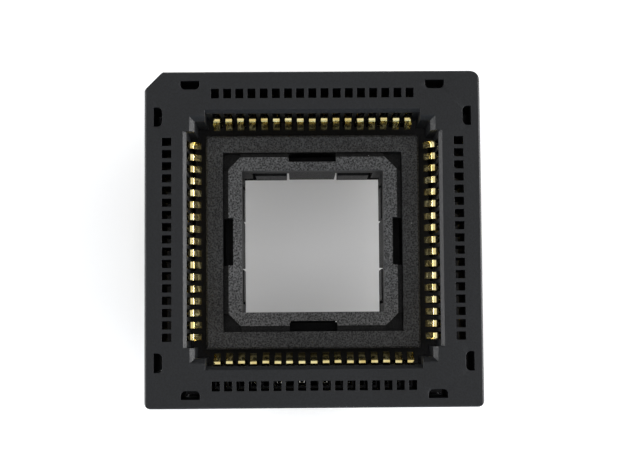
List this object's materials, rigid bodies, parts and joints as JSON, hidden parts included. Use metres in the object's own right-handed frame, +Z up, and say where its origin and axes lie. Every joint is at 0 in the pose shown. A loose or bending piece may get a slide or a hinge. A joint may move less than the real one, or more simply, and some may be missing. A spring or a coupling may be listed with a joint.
{
  "type": "plcc test socket",
  "caption": "Open-top test socket for a square leaded chip carrier: a spring-lifted cover that is pressed to open rows of gold contacts, over a base with solder tails.",
  "frame": {"origin": "centre of the socket in the plane of its board pads, where the circuit board's face lies", "axes": "+Z up out of the board, +Y towards the back side, +X towards the right side; the index chamfer is at the back left corner"},
  "size_m": [0.035, 0.035, 0.0177],
  "materials": {
    "moulded_plastic": "satin",
    "seat_plastic": "matte grained",
    "contact_gold": "gold plated",
    "spring_steel": "drawn wire"
  },
  "bodies": {
    "base": {"base": "moulded_plastic", "seat": "seat_plastic", "spring_front_left": "spring_steel", "spring_front_right": "spring_steel", "spring_back_left": "spring_steel", "spring_back_right": "spring_steel", "tails_inner_front": "contact_gold", "tails_inner_right": "contact_gold", "tails_inner_back": "contact_gold", "tails_inner_left": "contact_gold", "tails_outer_front": "contact_gold", "tails_outer_right": "contact_gold", "tails_outer_back": "contact_gold", "tails_outer_left": "contact_gold"},
    "cover": {"cover": "moulded_plastic"},
    "contacts_front": {"arms_inner_front": "contact_gold", "arms_outer_front": "contact_gold"},
    "contacts_right": {"arms_inner_right": "contact_gold", "arms_outer_right": "contact_gold"},
    "contacts_back": {"arms_inner_back": "contact_gold", "arms_outer_back": "contact_gold"},
    "contacts_left": {"arms_inner_left": "contact_gold", "arms_outer_left": "contact_gold"}
  },
  "joints": [
    {"name": "cover_press", "type": "slide", "parent": "base", "child": "cover", "axis": [0, 0, 1], "range_m": [-0.002, 0], "stiffness_N_per_m": 2000, "springref_m": 0.0001, "deforming": ["spring_front_left", "spring_front_right", "spring_back_left", "spring_back_right"]},
    {"name": "contacts_front", "type": "hinge", "parent": "base", "child": "contacts_front", "pos_m": [0, -0.0133, 0.0036], "axis": [1, 0, 0], "range_deg": [0, 6.5]},
    {"name": "contacts_right", "type": "hinge", "parent": "base", "child": "contacts_right", "pos_m": [0.0133, 0, 0.0036], "axis": [0, 1, 0], "range_deg": [0, 6.5]},
    {"name": "contacts_back", "type": "hinge", "parent": "base", "child": "contacts_back", "pos_m": [0, 0.0133, 0.0036], "axis": [-1, 0, 0], "range_deg": [0, 6.5]},
    {"name": "contacts_left", "type": "hinge", "parent": "base", "child": "contacts_left", "pos_m": [-0.0133, 0, 0.0036], "axis": [0, -1, 0], "range_deg": [0, 6.5]}
  ],
  "couplings": [
    {"joint": "contacts_front", "follows": "cover_press", "rad_per_m": -55.45},
    {"joint": "contacts_right", "follows": "cover_press", "rad_per_m": -55.45},
    {"joint": "contacts_back", "follows": "cover_press", "rad_per_m": -55.45},
    {"joint": "contacts_left", "follows": "cover_press", "rad_per_m": -55.45}
  ]
}
